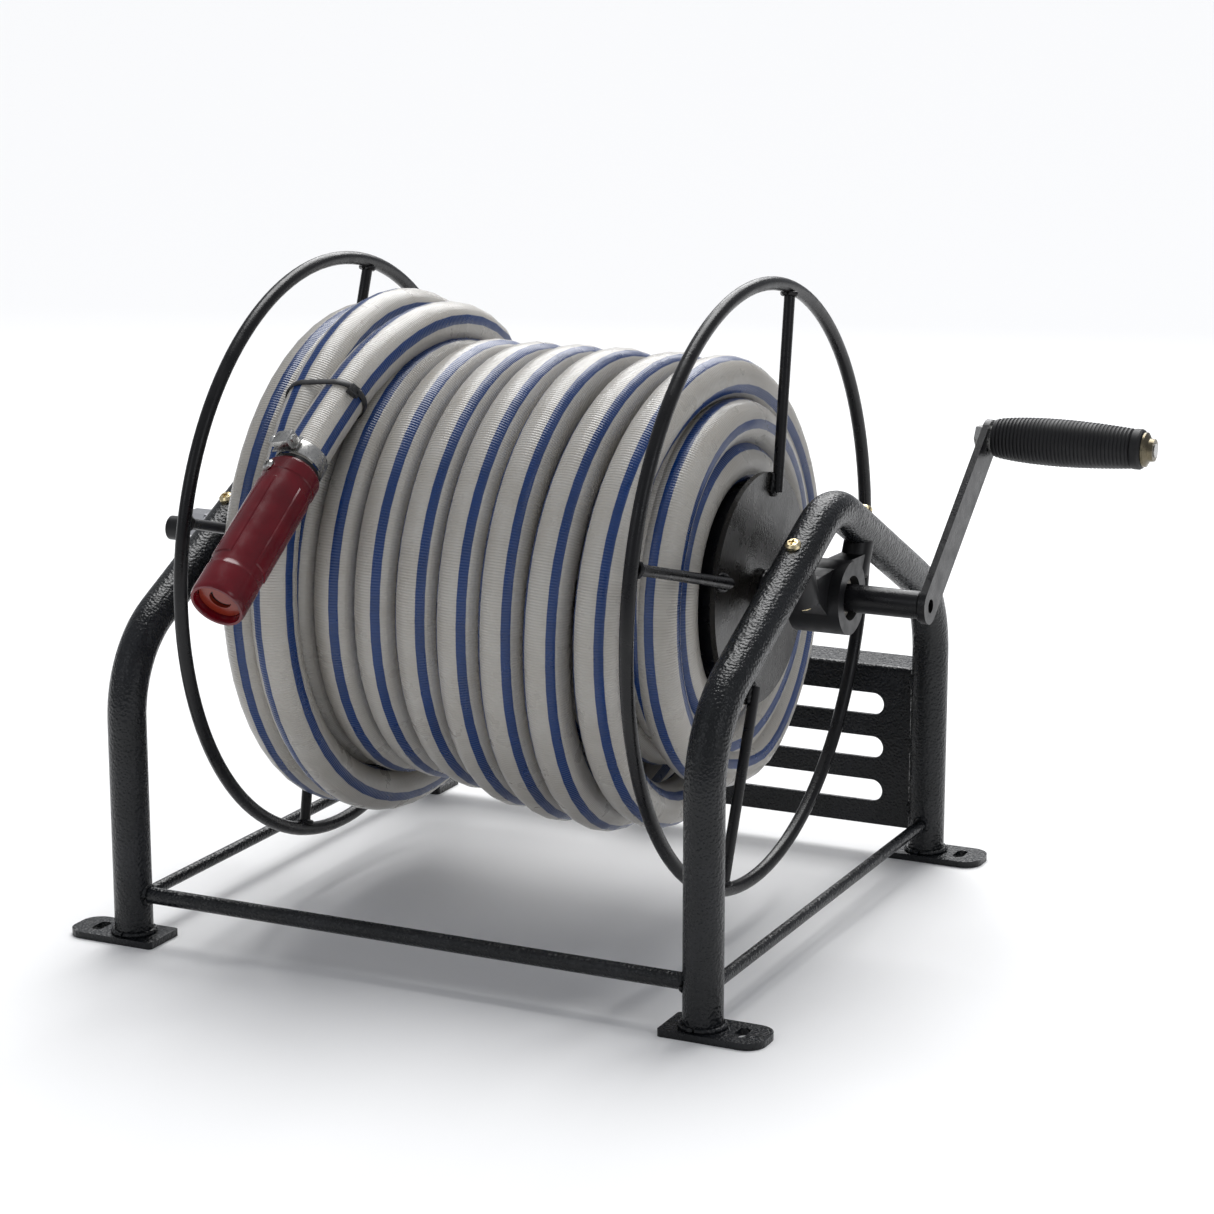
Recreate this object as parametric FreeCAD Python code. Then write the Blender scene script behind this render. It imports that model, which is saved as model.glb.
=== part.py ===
import FreeCAD, Part
import math
import os

from FreeCAD import Vector

# Floor-standing fire hose reel: a drum of welded rod and plate turns on a hollow axle between
# two bent-tube side frames, wound with 25 m of hose of 25 mm bore that ends in a twist nozzle.
# Millimetres. X points forwards, to the side where the nozzle hangs. Y runs along the axle
# towards the crank. Z is up. The origin is on the floor, at the centre of the four foot slots.

# Side frames
AXLE_HEIGHT = 255.0
FRAME_Y = 226.0            # centre plane of each side frame
LEG_X = 217.0              # centre of each leg, in front of and behind the axle
FRAME_TUBE_R = 14.0
FRAME_TUBE_WALL = 2.5
ARCH_TOP = 316.0           # centreline height at the top of the arch
ARCH_SLOPE = 27.0          # degrees
ARCH_TOP_BEND = 60.0
ARCH_LEG_BEND = 80.0

# Feet and the bars that join the frames
FOOT_THICKNESS = 5.0
FOOT_WIDTH = 38.0
FOOT_INNER_Y = 200.0
FOOT_OUTER_Y = 274.0
FOOT_SLOT_Y = 254.5
FOOT_SLOT_LENGTH = 18.0
FOOT_SLOT_WIDTH = 8.5
CROSSBAR_R = 6.0
CROSSBAR_Z = 34.5
BASE_BAR_R = 4.5
BASE_BAR_Z = 28.6

# Rear plate
PLATE_FRONT_X = -215.5
PLATE_THICKNESS = 3.0
PLATE_HALF_WIDTH = 211.2
PLATE_BOTTOM = 20.5
PLATE_TOP = 150.0
PLATE_FLANGE = 40.0
PLATE_SLOT_ROWS = (48.0, 83.3, 118.6)
PLATE_SLOT_HEIGHT = 17.5
PLATE_SLOT_INNER_Y = 15.0
PLATE_SLOT_OUTER_Y = 189.0

# Bearings
HANGER_INNER_Y = 204.5
HANGER_OUTER_Y = 243.5
HANGER_R = 26.5
BUSH_R = 16.0
BUSH_INNER_Y = 206.0
BUSH_OUTER_Y = 237.0
HANGER_SCREW_X = {1: 62.0, -1: 70.0}   # crank side, inlet side
HANGER_BOSS_R = 11.0
HANGER_BOSS_DEPTH = 34.0   # from the tube's centre to the boss's lower end
HANGER_SCREW_R = 3.0
RUNNING_GAP = 0.05

# Drum
DRUM_Y = -3.5              # the drum stands a little nearer the inlet
RIM_OFFSET = 173.0         # from the drum's middle to each rim's plane
RIM_R = 218.0
RIM_ROD_R = 5.0
SPOKE_ROD_R = 4.0
SPOKE_ANGLES = (15.0, 105.0, 195.0, 285.0)
SPOKE_INNER_R = 70.0
DISC_R = 84.0
DISC_THICKNESS = 4.0
WELD_DEPTH = 0.5
BARREL_R = 73.0
BARREL_WALL = 3.0
AXLE_R = 10.0
AXLE_BORE_R = 6.5
AXLE_INLET_END = -262.0
AXLE_CRANK_END = 302.5

# Crank
CRANK_ANGLE = 141.5
CRANK_THROW = 160.0
CRANK_WIDTH = 26.0
CRANK_THICKNESS = 5.0
SPINDLE_R = 5.0
GRIP_START = 304.2
GRIP_END = 415.8

# Hose and nozzle
HOSE_R = 16.5
HOSE_BORE_R = 12.5
WINDING_INLET_Y = -169.5
WINDING_CRANK_Y = 162.5
WINDING_R = 165.0
TOP_LAYER_R = 191.5
TOP_LAYER_Y = -107.0       # the fourth layer ends here
SAG = 13.0                 # loose turns hang lower in the middle of the drum
SAG_R = 177.0
SAG_START_Y = -10.0
SAG_END_Y = 125.0
FIRST_TURN_Y = 146.0
FEED_ANGLE = 200.0
FEED_R = 84.0
TAIL_ROUTE = ((-112, -88, 386), (-56, -88, 423), (11, -90, 432), (76, -94, 418),
              (129, -101, 386.5), (182, -101, 350))
NOZZLE_START = Vector(182, -101, 350)
NOZZLE_DIRECTION = Vector(0.8235, 0, -0.5673)
NOZZLE_R = 20.0
NOZZLE_LENGTH = 131.0
STEM_R = 13.5
NOZZLE_SCREW_SIDE = Vector(-0.887, -0.462, 0)   # across the nozzle, towards the screw

# Inlet
SPIGOT_END = -326.0
SPIGOT_R = 9.5
NUT_INNER_Y = -290.0
NUT_OUTER_Y = -308.0

ALONG_Y = Vector(0, 1, 0)
UP = Vector(0, 0, 1)
SIDES = {"crank": 1, "inlet": -1}


def cylinder(start, direction, radius, length):
    return Part.makeCylinder(radius, length, start, direction)


def tube(start, direction, radius, bore, length):
    return cylinder(start, direction, radius, length).cut(cylinder(start, direction, bore, length))


def axle_cylinder(radius, y_start, y_end):
    low, high = sorted((y_start, y_end))
    return cylinder(Vector(0, low, AXLE_HEIGHT), ALONG_Y, radius, high - low)


def axle_tube(radius, bore, y_start, y_end):
    return axle_cylinder(radius, y_start, y_end).cut(axle_cylinder(bore, y_start, y_end))


def around_axle(radius, degrees, y):
    turn = math.radians(degrees)
    return Vector(radius * math.cos(turn), y, AXLE_HEIGHT + radius * math.sin(turn))


def hexagon(centre, direction, across_flats, length):
    """A hexagonal prism that starts at centre and runs along direction."""
    corner = across_flats / math.sqrt(3)
    turns = [math.radians(60 * step) for step in range(7)]
    points = [Vector(corner * math.cos(turn), corner * math.sin(turn), 0) for turn in turns]
    prism = Part.Face(Part.makePolygon(points)).extrude(Vector(0, 0, length))
    return placed(prism, centre, direction)


def placed(shape, start, direction):
    """Moves a shape built along +Z from the origin onto a start point and a direction."""
    moved = shape.copy()
    moved.Placement = FreeCAD.Placement(start, FreeCAD.Rotation(UP, direction)) * moved.Placement
    return moved


def revolved(profile):
    """A solid of revolution about +Z from (radius, height) points."""
    points = [Vector(radius, 0, height) for radius, height in profile]
    face = Part.Face(Part.makePolygon(points + points[:1]))
    return face.revolve(Vector(0, 0, 0), UP, 360)


def rounded_path(points, radii):
    """Straight runs between the points, joined by tangent arcs of the given radii."""
    edges = []
    start = points[0]
    for before, corner, after, radius in zip(points, points[1:], points[2:], radii):
        back = (before - corner).normalize()
        onward = (after - corner).normalize()
        half = back.getAngle(onward) / 2
        setback = radius / math.tan(half)
        arc_start = corner + back * setback
        arc_end = corner + onward * setback
        arc_middle = corner + (back + onward).normalize() * (radius / math.sin(half) - radius)
        edges.append(Part.LineSegment(start, arc_start).toShape())
        edges.append(Part.Arc(arc_start, arc_middle, arc_end).toShape())
        start = arc_end
    edges.append(Part.LineSegment(start, points[-1]).toShape())
    return Part.Wire(edges)


def swept_rod(path, radius):
    first = path.OrderedEdges[0]
    start = first.valueAt(first.FirstParameter)
    direction = first.tangentAt(first.FirstParameter)
    profile = Part.Wire(Part.makeCircle(radius, start, direction))
    return path.makePipeShell([profile], True, False)


def slot_cutter(centre, half_length, half_width, long_axis, through_axis, depth):
    """A round-ended slot, cut symmetrically about its centre along through_axis."""
    bottom = centre - through_axis * (depth / 2)
    across = through_axis.cross(long_axis)
    reach = half_length - half_width
    corners = [(-1, -1), (1, -1), (1, 1), (-1, 1), (-1, -1)]
    outline = [bottom + long_axis * (reach * i) + across * (half_width * j) for i, j in corners]
    middle = Part.Face(Part.makePolygon(outline)).extrude(through_axis * depth)
    ends = [cylinder(bottom + long_axis * (reach * i), through_axis, half_width, depth)
            for i in (-1, 1)]
    return middle.fuse(ends).removeSplitter()


# ---- side frames -------------------------------------------------------------------------

def arch_corners():
    """Height where the two slopes would meet, and where a slope would meet its leg."""
    slope = math.radians(ARCH_SLOPE)
    peak = ARCH_TOP + ARCH_TOP_BEND * (1 / math.cos(slope) - 1)
    return peak, peak - LEG_X * math.tan(slope)


def arch_path(y):
    peak, shoulder = arch_corners()
    points = [Vector(-LEG_X, y, FOOT_THICKNESS), Vector(-LEG_X, y, shoulder), Vector(0, y, peak),
              Vector(LEG_X, y, shoulder), Vector(LEG_X, y, FOOT_THICKNESS)]
    return rounded_path(points, (ARCH_LEG_BEND, ARCH_TOP_BEND, ARCH_LEG_BEND))


def hanger_screw_axes(side):
    """Point on the tube's centreline and outward direction of each of a hanger's two screws."""
    slope = math.radians(ARCH_SLOPE)
    x = HANGER_SCREW_X[side]
    height = arch_corners()[0] - x * math.tan(slope)
    return [(Vector(front * x, side * FRAME_Y, height),
             Vector(front * math.sin(slope), 0, math.cos(slope))) for front in (1, -1)]


def side_frame(side):
    path = arch_path(side * FRAME_Y)
    frame = swept_rod(path, FRAME_TUBE_R).cut(swept_rod(path, FRAME_TUBE_R - FRAME_TUBE_WALL))
    reach = FRAME_TUBE_R + 2
    for centre, outward in hanger_screw_axes(side):
        frame = frame.cut(cylinder(centre - outward * reach, outward, HANGER_SCREW_R, 2 * reach))
    return frame


def foot(front, side):
    width = FOOT_OUTER_Y - FOOT_INNER_Y
    plate = Part.makeBox(FOOT_WIDTH, width, FOOT_THICKNESS,
                         Vector(-FOOT_WIDTH / 2, FOOT_INNER_Y, 0))
    upright = [edge for edge in plate.Edges if abs(edge.tangentAt(0).z) > 0.9]
    outer = [edge for edge in upright if edge.CenterOfMass.y > FOOT_OUTER_Y - 1]
    inner = [edge for edge in upright if edge.CenterOfMass.y < FOOT_INNER_Y + 1]
    plate = plate.makeFillet(14, outer).makeFillet(3, [
        edge for edge in plate.makeFillet(14, outer).Edges
        if any(edge.CenterOfMass.distanceToPoint(old.CenterOfMass) < 0.01 for old in inner)])
    plate = plate.cut(slot_cutter(Vector(0, FOOT_SLOT_Y, FOOT_THICKNESS / 2),
                                  FOOT_SLOT_LENGTH / 2, FOOT_SLOT_WIDTH / 2,
                                  Vector(1, 0, 0), UP, 3 * FOOT_THICKNESS))
    if side < 0:
        plate = plate.mirror(Vector(0, 0, 0), ALONG_Y)
    plate.translate(Vector(front * LEG_X, 0, 0))
    return plate


def leg_core(front, side):
    """The space a leg fills, for coping the ends of the bars that meet it."""
    return cylinder(Vector(front * LEG_X, side * FRAME_Y, 0), UP, FRAME_TUBE_R, 150)


def front_crossbar():
    bar = cylinder(Vector(LEG_X, -FRAME_Y, CROSSBAR_Z), ALONG_Y, CROSSBAR_R, 2 * FRAME_Y)
    return bar.cut([leg_core(1, 1), leg_core(1, -1)])


def base_bar(side):
    bar = cylinder(Vector(-LEG_X, side * FRAME_Y, BASE_BAR_Z), Vector(1, 0, 0),
                   BASE_BAR_R, 2 * LEG_X)
    return bar.cut([leg_core(1, side), leg_core(-1, side)])


def rear_plate():
    """A slotted plate with its top edge folded back, tacked between the rear legs."""
    back_x = PLATE_FRONT_X - PLATE_THICKNESS
    width = 2 * PLATE_HALF_WIDTH
    upright = Part.makeBox(PLATE_THICKNESS, width, PLATE_TOP - PLATE_BOTTOM,
                           Vector(back_x, -PLATE_HALF_WIDTH, PLATE_BOTTOM))
    flange = Part.makeBox(PLATE_FLANGE, width, PLATE_THICKNESS,
                          Vector(PLATE_FRONT_X - PLATE_FLANGE, -PLATE_HALF_WIDTH,
                                 PLATE_TOP - PLATE_THICKNESS))
    plate = upright.fuse(flange).removeSplitter()
    fold = [edge for edge in plate.Edges
            if edge.CenterOfMass.distanceToPoint(Vector(PLATE_FRONT_X, 0, PLATE_TOP)) < 0.1]
    plate = plate.makeFillet(PLATE_THICKNESS + 1, fold)
    slot_middle = (PLATE_SLOT_INNER_Y + PLATE_SLOT_OUTER_Y) / 2
    half_length = (PLATE_SLOT_OUTER_Y - PLATE_SLOT_INNER_Y) / 2
    for row in PLATE_SLOT_ROWS:
        for side in SIDES.values():
            centre = Vector(PLATE_FRONT_X, side * slot_middle, row)
            plate = plate.cut(slot_cutter(centre, half_length, PLATE_SLOT_HEIGHT / 2,
                                          ALONG_Y, Vector(1, 0, 0), 6 * PLATE_THICKNESS))
    for side in SIDES.values():
        for height in (32, 84, 136):
            tack = Vector(back_x + PLATE_THICKNESS / 2, side * PLATE_HALF_WIDTH, height)
            plate = plate.fuse(cylinder(tack, UP, 2, 9))
    return plate


# ---- bearings ----------------------------------------------------------------------------

def bearing_hanger(side):
    """A barrel for the bush, with a web and a boss on each side that seats on the arch."""
    centre_y = side * FRAME_Y
    hanger = axle_cylinder(HANGER_R, side * HANGER_INNER_Y, side * HANGER_OUTER_Y)
    for centre, outward in hanger_screw_axes(side):
        foot = centre - outward * HANGER_BOSS_DEPTH
        front = math.copysign(1, centre.x)
        boss = cylinder(foot, outward, HANGER_BOSS_R, HANGER_BOSS_DEPTH)
        low = foot + outward * 3
        high = foot + outward * 17
        outline = [Vector(front * 20, 0, AXLE_HEIGHT - 12), Vector(low.x, 0, low.z),
                   Vector(high.x, 0, high.z), Vector(front * 10, 0, AXLE_HEIGHT + 23)]
        outline = [point + ALONG_Y * (centre_y - point.y - 9) for point in outline]
        web = Part.Face(Part.makePolygon(outline + outline[:1])).extrude(ALONG_Y * 18)
        hanger = hanger.fuse([boss, web])
    hanger = hanger.cut(axle_cylinder(BUSH_R, side * HANGER_INNER_Y, side * HANGER_OUTER_Y))
    hanger = hanger.cut(swept_rod(arch_path(centre_y), FRAME_TUBE_R))
    for centre, outward in hanger_screw_axes(side):
        hanger = hanger.cut(cylinder(centre, outward * -1, HANGER_SCREW_R, 60))
    return hanger


def bearing_bush(side):
    return axle_tube(BUSH_R, AXLE_R + RUNNING_GAP, side * BUSH_INNER_Y, side * BUSH_OUTER_Y)


def pan_head_screw(length, radius, head_radius, head_height):
    """A pan-head screw along +Z: the head is below the origin and the shank above it."""
    head = revolved(((0, 0), (head_radius, 0), (head_radius, -0.5 * head_height),
                     (0.7 * head_radius, -0.9 * head_height), (0, -head_height)))
    recess = Part.makeBox(0.3 * head_radius, 1.2 * head_radius, head_height,
                          Vector(-0.15 * head_radius, -0.6 * head_radius, -1.5 * head_height))
    crossed = recess.fuse(recess.rotated(Vector(0, 0, 0), UP, 90))
    return head.cut(crossed).fuse(Part.makeCylinder(radius, length))


def hanger_fasteners():
    screws, nuts = [], []
    for side in SIDES.values():
        for centre, outward in hanger_screw_axes(side):
            inward = outward * -1
            screw = pan_head_screw(FRAME_TUBE_R + HANGER_BOSS_DEPTH + 7, HANGER_SCREW_R, 5.5, 4)
            screws.append(placed(screw, centre + outward * FRAME_TUBE_R, inward))
            nut = hexagon(Vector(0, 0, 0), UP, 10, 5).cut(Part.makeCylinder(HANGER_SCREW_R, 5))
            nuts.append(placed(nut, centre + inward * HANGER_BOSS_DEPTH, inward))
    return Part.makeCompound(screws), Part.makeCompound(nuts)


# ---- drum --------------------------------------------------------------------------------

def rim(side):
    centre = Vector(0, DRUM_Y + side * RIM_OFFSET, AXLE_HEIGHT)
    return Part.makeTorus(RIM_R, RIM_ROD_R, centre, ALONG_Y)


def disc_outer_face(side):
    return DRUM_Y + side * (RIM_OFFSET + RIM_ROD_R)


def spokes(side):
    """Four rods from the disc's outer face to the inside of the rim."""
    disc_y = disc_outer_face(side) + side * (SPOKE_ROD_R - WELD_DEPTH)
    rim_y = DRUM_Y + side * (RIM_OFFSET + 1)
    rods = []
    for degrees in SPOKE_ANGLES:
        start = around_axle(SPOKE_INNER_R, degrees, disc_y)
        end = around_axle(RIM_R - RIM_ROD_R + WELD_DEPTH, degrees, rim_y)
        rods.append(cylinder(start, end - start, SPOKE_ROD_R, (end - start).Length))
    return Part.makeCompound(rods)


def hub_disc(side):
    outer = disc_outer_face(side)
    disc = axle_tube(DISC_R, AXLE_R, outer, outer - side * DISC_THICKNESS)
    return disc.fuse(axle_tube(AXLE_R + 4, AXLE_R, outer, outer + side * 3))


def feed_axes():
    """The feed pipe's radial and tangential directions."""
    turn = math.radians(FEED_ANGLE)
    radial = Vector(math.cos(turn), 0, math.sin(turn))
    return radial, Vector(math.sin(turn), 0, -math.cos(turn))


def drum_barrel():
    """The core that the hose winds on, with a window for the feed elbow."""
    inner = RIM_OFFSET + RIM_ROD_R - DISC_THICKNESS
    barrel = axle_tube(BARREL_R, BARREL_R - BARREL_WALL, DRUM_Y - inner, DRUM_Y + inner)
    radial, tangent = feed_axes()
    corner = Vector(0, FIRST_TURN_Y, AXLE_HEIGHT) + radial * 50 - tangent * 16
    outline = [corner + tangent * i + ALONG_Y * j
               for i, j in ((0, -19), (70, -19), (70, 19), (0, 19), (0, -19))]
    return barrel.cut(Part.Face(Part.makePolygon(outline)).extrude(radial * 40))


def axle():
    """Hollow from the inlet end to the feed elbow, with a blind hole in the crank end."""
    shaft = axle_cylinder(AXLE_R, AXLE_INLET_END, AXLE_CRANK_END)
    shaft = shaft.cut(axle_cylinder(AXLE_BORE_R, AXLE_INLET_END, FIRST_TURN_Y + 8))
    shaft = shaft.cut(axle_cylinder(5, AXLE_CRANK_END - 25, AXLE_CRANK_END))
    radial = feed_axes()[0]
    return shaft.cut(cylinder(Vector(0, FIRST_TURN_Y, AXLE_HEIGHT), radial, 6, 2 * AXLE_R))


def stop_collar(side):
    """A set collar that keeps the drum between the bearings."""
    inner = side * (HANGER_INNER_Y - 0.5)
    collar = axle_tube(17, AXLE_R, inner, inner - side * 12)
    return collar.cut(cylinder(Vector(0, inner - side * 6, AXLE_HEIGHT), UP, 2.5, 20))


def grub_screws():
    screws = []
    for side in SIDES.values():
        y = side * (HANGER_INNER_Y - 6.5)
        screws.append(cylinder(Vector(0, y, AXLE_HEIGHT + AXLE_R), UP, 2.5, 6))
    return Part.makeCompound(screws)


def feed_elbow():
    """Takes water from the axle's bore out through the barrel to the first turn of hose."""
    radial, tangent = feed_axes()
    centre = Vector(0, FIRST_TURN_Y, AXLE_HEIGHT)
    corner = centre + radial * FEED_R
    path = rounded_path([centre + radial * AXLE_R, corner, corner + tangent * 38], (14,))
    return swept_rod(path, 9).cut(swept_rod(path, 6))


def hose_barb():
    """The ribbed spigot that the hose is pushed onto."""
    radial, tangent = feed_axes()
    start = Vector(0, FIRST_TURN_Y, AXLE_HEIGHT) + radial * FEED_R + tangent * 15
    teeth = []
    for step in range(3):
        teeth += [(11, 2 + 7 * step), (HOSE_BORE_R, 7 + 7 * step)]
    barb = revolved([(9, 0), (11, 0)] + teeth + [(9, 23)])
    return placed(barb, start, tangent)


def inner_hose_clamp():
    radial, tangent = feed_axes()
    start = Vector(0, FIRST_TURN_Y, AXLE_HEIGHT) + radial * FEED_R + tangent * 22
    return tube(start, tangent, HOSE_R + 1, HOSE_R, 9)


# ---- crank -------------------------------------------------------------------------------

def crank_end(y):
    return around_axle(CRANK_THROW, CRANK_ANGLE, y)


def crank_arm():
    """A flat bar with round ends, welded to the axle."""
    y = AXLE_CRANK_END - CRANK_THICKNESS
    along = (crank_end(0) - around_axle(0, 0, 0)).normalize()
    middle = (around_axle(0, 0, y + CRANK_THICKNESS / 2) + crank_end(y + CRANK_THICKNESS / 2)) / 2
    bar = slot_cutter(middle, (CRANK_THROW + CRANK_WIDTH) / 2, CRANK_WIDTH / 2,
                      along, ALONG_Y, CRANK_THICKNESS)
    bar = bar.cut(axle_cylinder(AXLE_R, y - 1, AXLE_CRANK_END + 1))
    return bar.cut(cylinder(crank_end(y - 1), ALONG_Y, SPINDLE_R, CRANK_THICKNESS + 2))


def grip_spindle():
    y = AXLE_CRANK_END - CRANK_THICKNESS
    head = hexagon(crank_end(y), ALONG_Y * -1, 16, 6.4)
    return head.fuse(cylinder(crank_end(y), ALONG_Y, SPINDLE_R, 127))


def grip_washer():
    return tube(crank_end(AXLE_CRANK_END), ALONG_Y, 9.5, SPINDLE_R, GRIP_START - AXLE_CRANK_END - 0.3)


def grip_nut():
    """A flanged nut on the spindle's end."""
    nut = revolved(((SPINDLE_R, 0), (12.5, 0), (12.5, 1.6), (8.5, 4), (8, 7.5), (SPINDLE_R, 7.5)))
    return placed(nut, crank_end(GRIP_END + 0.4), ALONG_Y)


def grip():
    """A barrel-shaped hand grip that turns on the spindle."""
    length = GRIP_END - GRIP_START
    bore = SPINDLE_R + RUNNING_GAP
    swell = Part.Arc(Vector(14, 0, 2), Vector(17.2, 0, 0.45 * length),
                     Vector(15.6, 0, length - 7)).toShape()
    outline = [Vector(15.6, 0, length - 7), Vector(14.6, 0, length - 6),
               Vector(14.6, 0, length - 2), Vector(12.6, 0, length),
               Vector(bore, 0, length), Vector(bore, 0, 0), Vector(12, 0, 0), Vector(14, 0, 2)]
    face = Part.Face(Part.Wire([swell] + Part.makePolygon(outline).Edges))
    return placed(face.revolve(Vector(0, 0, 0), UP, 360), crank_end(GRIP_START), ALONG_Y)


# ---- hose and nozzle ---------------------------------------------------------------------

def hose_winding():
    """The outer shape of the wound hose: three full layers, and a fourth near the inlet."""
    layers = axle_cylinder(WINDING_R, WINDING_INLET_Y, WINDING_CRANK_Y)
    loose = cylinder(Vector(0, SAG_START_Y, AXLE_HEIGHT - SAG), ALONG_Y, SAG_R,
                     SAG_END_Y - SAG_START_Y)
    top = axle_cylinder(TOP_LAYER_R, WINDING_INLET_Y, TOP_LAYER_Y)
    rounded = [edge for edge in top.Edges
               if edge.Closed and abs(edge.BoundBox.Center.y - TOP_LAYER_Y) < 0.1]
    layers = layers.fuse([loose, top.makeFillet(HOSE_R, rounded)])
    return layers.cut(axle_cylinder(BARREL_R, WINDING_INLET_Y, WINDING_CRANK_Y)).removeSplitter()


def hose_tail():
    """The stretch of hose from the winding to the nozzle."""
    points = [Vector(*point) for point in TAIL_ROUTE]
    radii = []
    for before, corner, after in zip(points, points[1:], points[2:]):
        half_turn = (corner - before).getAngle(after - corner) / 2
        shorter = min((corner - before).Length, (after - corner).Length)
        radii.append(0.45 * shorter / math.tan(half_turn))
    path = rounded_path(points, radii)
    tail = swept_rod(path, HOSE_R)
    expected = math.pi * HOSE_R ** 2 * path.Length
    print("hose tail radii", [round(radius) for radius in radii])
    print("hose tail length %.1f, volume over section x length %.4f"
          % (path.Length, tail.Volume / expected))
    return tail


def on_nozzle(shape):
    return placed(shape, NOZZLE_START, NOZZLE_DIRECTION)


def nozzle_body():
    """Shank inside the hose, shoulder, and the stem that the sleeve turns on."""
    body = revolved(((7, -34), (11.5, -34), (HOSE_BORE_R, -30), (HOSE_BORE_R, 0), (17, 0), (17, 4),
                     (STEM_R, 4), (STEM_R, 118), (10, 118), (10, 122), (7, 122)))
    for groove in (40, 60):
        body = body.cut(revolved(((11.6, groove), (STEM_R + 1, groove),
                                  (STEM_R + 1, groove + 3), (11.6, groove + 3))))
    return on_nozzle(body.cut(revolved(((12.2, 11.5), (STEM_R + 1, 11.5),
                                        (STEM_R + 1, 16.5), (12.2, 16.5)))))


def nozzle_seals():
    rings = [Part.makeTorus(12.5, 0.9, Vector(0, 0, groove + 1.5)) for groove in (40, 60)]
    return on_nozzle(Part.makeCompound(rings))


def nozzle_sleeve():
    """The twist sleeve: turned one way it opens the jet, turned back it shuts."""
    bore = STEM_R + RUNNING_GAP
    sleeve = revolved(((bore, 4.3), (18.6, 4.3), (NOZZLE_R, 6), (NOZZLE_R, 18), (19.5, 19),
                       (19.5, 119), (NOZZLE_R, 120), (NOZZLE_R, NOZZLE_LENGTH - 1),
                       (19, NOZZLE_LENGTH), (17, NOZZLE_LENGTH), (16.2, 127), (16.2, 119),
                       (bore, 119)))
    hole = cylinder(Vector(0, 0, 14), NOZZLE_SCREW_SIDE, 2, 25)
    return on_nozzle(sleeve.cut(hole))


def nozzle_tip():
    """The jet plate in the nozzle's mouth, with a crescent opening."""
    plate = revolved(((10, 119.4), (15.8, 119.4), (15.8, 125), (0, 125), (0, 122.1), (10, 122.1)))
    outer = Part.makeCylinder(8, 12, Vector(0, 0, 118))
    inner = Part.makeCylinder(8, 12, Vector(-4, 4, 118))
    return on_nozzle(plate.cut(outer.cut(inner)))


def nozzle_screw():
    """Holds the sleeve on the stem: its tip runs in a groove."""
    outward = NOZZLE_SCREW_SIDE
    screw = pan_head_screw(6.6, 2, 4.5, 2.8)
    return on_nozzle(placed(screw, outward * NOZZLE_R + Vector(0, 0, 14), outward * -1))


def clamp_band():
    return on_nozzle(tube(Vector(0, 0, -15), UP, HOSE_R + 1, HOSE_R, 11))


def clamp_screw():
    """The worm housing and its hexagon-headed screw, on the outside of the band."""
    reach = HOSE_R + 1
    housing = Part.makeBox(9, 16, 13, Vector(-reach - 9, -8, -16))
    screw = hexagon(Vector(-reach - 4.5, 8, -9.5), ALONG_Y, 7, 4)
    return on_nozzle(housing.fuse(screw))


def cable_tie():
    """Straps the tail to the turn beside it."""
    centre = Vector(*TAIL_ROUTE[4])
    along = NOZZLE_DIRECTION
    across = ALONG_Y.cross(along).normalize()
    inner_r = HOSE_R + 0.6
    middle = centre - ALONG_Y * HOSE_R
    strap = slot_cutter(middle, HOSE_R + inner_r + 1.5, inner_r + 1.5, ALONG_Y, along, 4.8)
    strap = strap.cut(slot_cutter(middle, HOSE_R + inner_r, inner_r, ALONG_Y, along, 6))
    outward = (ALONG_Y - across).normalize()
    head = placed(Part.makeBox(7, 7, 6, Vector(-3.5, -3.5, 0)), centre + outward * inner_r,
                  outward)
    return strap.fuse(head)


# ---- inlet -------------------------------------------------------------------------------

def swivel_housing():
    """Stands still on the turning axle end and passes the supply into it."""
    shell = axle_cylinder(15, -250, -286).fuse(axle_cylinder(12, -286, -296))
    shell = shell.cut(axle_cylinder(AXLE_R + RUNNING_GAP, -250, AXLE_INLET_END - 1))
    shell = shell.cut(axle_cylinder(AXLE_BORE_R, AXLE_INLET_END, -296))
    return shell.cut(axle_tube(12.6, AXLE_R, -254, -257.5))


def swivel_seal():
    return Part.makeTorus(11.4, 1.0, Vector(0, -255.75, AXLE_HEIGHT), ALONG_Y)


def inlet_spigot():
    """A plain tail for a supply hose, with a collar that the union nut pulls up."""
    spigot = axle_cylinder(SPIGOT_R, NUT_OUTER_Y - 0.2, SPIGOT_END)
    spigot = spigot.fuse([axle_cylinder(SPIGOT_R - 0.3, -296.2, NUT_OUTER_Y - 0.2),
                          axle_cylinder(12.4, -296.2, -302)])
    return spigot.cut(axle_cylinder(AXLE_BORE_R, -296, SPIGOT_END - 1))


def union_nut():
    nut = hexagon(Vector(0, NUT_INNER_Y, AXLE_HEIGHT), ALONG_Y * -1, 31,
                  NUT_INNER_Y - NUT_OUTER_Y)
    nut = nut.cut(axle_cylinder(12.5, NUT_INNER_Y, -302.3))
    return nut.cut(axle_cylinder(SPIGOT_R + 0.3, -302, NUT_OUTER_Y))


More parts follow.
